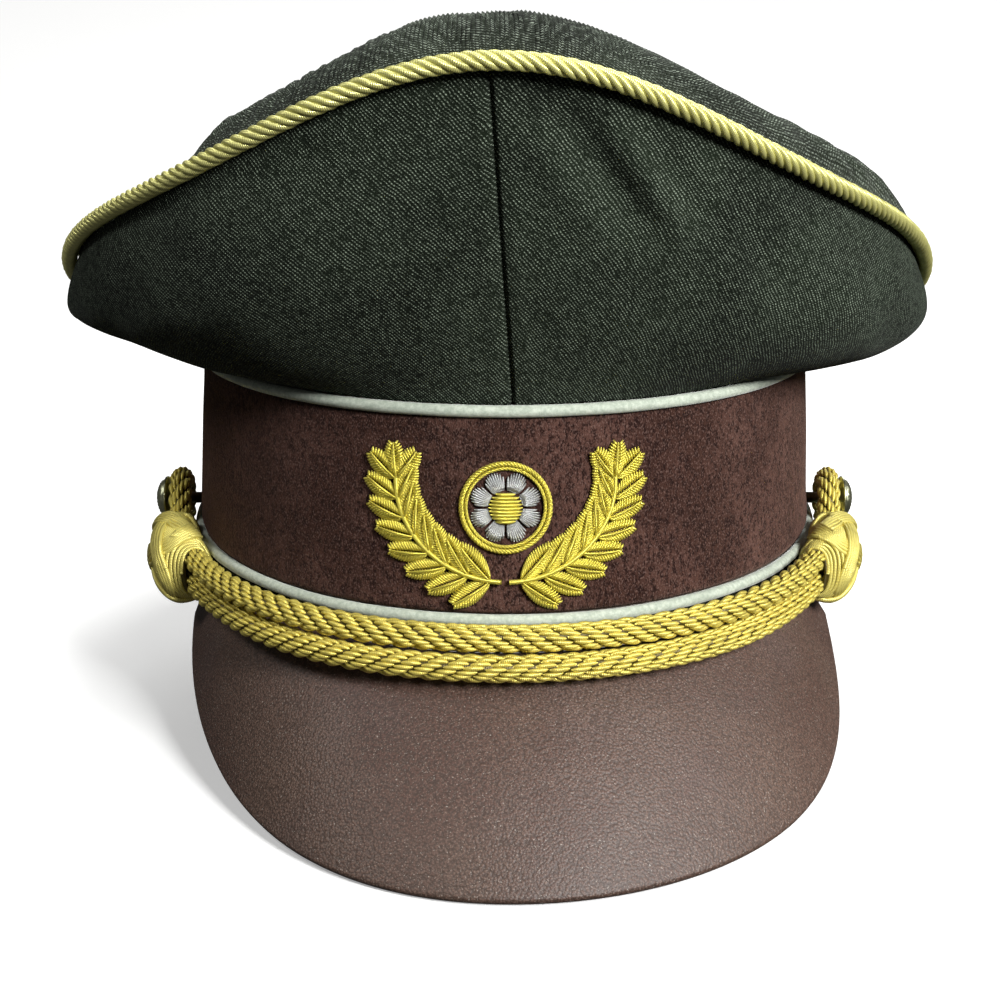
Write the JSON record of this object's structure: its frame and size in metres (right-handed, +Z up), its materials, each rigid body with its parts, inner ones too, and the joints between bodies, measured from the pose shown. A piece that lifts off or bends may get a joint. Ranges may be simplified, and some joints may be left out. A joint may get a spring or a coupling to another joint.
{
  "type": "military peaked cap",
  "caption": "Stiff peaked cap with a saddle-shaped cloth crown, velvet band, leather visor, corded chin strap with sliding knots, side buttons, lining and sweatband.",
  "frame": {"origin": "centre of the head opening, in the plane of the band's bottom edge", "axes": "+Z up through the crown, -Y towards the visor, +X towards the wearer's left"},
  "size_m": [0.2358, 0.2771, 0.1847],
  "materials": {
    "crown_cloth": "matte",
    "top_cloth": "matte",
    "band_velvet": "velvet",
    "white_piping": "felted wool",
    "gold_cord": "metallic gold thread",
    "gold_bullion": "gold bullion wire",
    "visor_leather": "pebbled, half gloss",
    "visor_lining_leather": "matte",
    "board": "matte",
    "sweat_leather": "smooth",
    "lining": "satin",
    "clear_sheet": "clear",
    "steel": "satin",
    "button_metal": "pebbled, silver gilt"
  },
  "bodies": {
    "cap": {"crown_quarter_front_left": "crown_cloth", "crown_quarter_front_right": "crown_cloth", "crown_quarter_rear_left": "crown_cloth", "crown_quarter_rear_right": "crown_cloth", "crown_top_panel": "top_cloth", "band_base_strip": "top_cloth", "cap_band_velvet": "band_velvet", "band_piping_upper": "white_piping", "band_piping_lower": "white_piping", "crown_edge_cord": "gold_cord", "badge_spray_left": "gold_bullion", "badge_spray_right": "gold_bullion", "badge_boss_rim": "gold_bullion", "badge_boss_field": "gold_bullion", "badge_boss_centre": "gold_bullion", "visor_top_leather": "visor_leather", "visor_under_leather": "visor_lining_leather", "visor_board": "board", "band_stiffener": "board", "crown_front_stay": "board", "sweatband": "sweat_leather", "crown_lining": "lining", "lining_side_strip": "lining", "lining_sweat_shield": "clear_sheet", "crown_spring_wire": "steel", "crown_wire_sleeve": "steel", "button_washer_left": "steel", "button_washer_right": "steel", "side_button_left": "button_metal", "side_button_right": "button_metal"},
    "chin_cord": {"chin_cord_upper": "gold_cord", "chin_cord_lower": "gold_cord", "chin_cord_loop_left": "gold_cord", "chin_cord_loop_right": "gold_cord"},
    "knot_left": {"chin_cord_knot_left": "gold_cord"},
    "knot_right": {"chin_cord_knot_right": "gold_cord"}
  },
  "joints": [
    {"name": "chin_cord_swing", "type": "hinge", "parent": "cap", "child": "chin_cord", "pos_m": [0, -0.012, 0.0124], "axis": [-1, 0, 0], "range_deg": [0, 10]},
    {"name": "knot_left_slide", "type": "hinge", "parent": "chin_cord", "child": "knot_left", "pos_m": [-0.0466, 0, 0.0062], "axis": [0, 0.0279, -0.9996], "range_deg": [0, 6]},
    {"name": "knot_right_slide", "type": "hinge", "parent": "chin_cord", "child": "knot_right", "pos_m": [0.0466, 0, 0.0062], "axis": [0, -0.0279, 0.9996], "range_deg": [0, 6]}
  ]
}
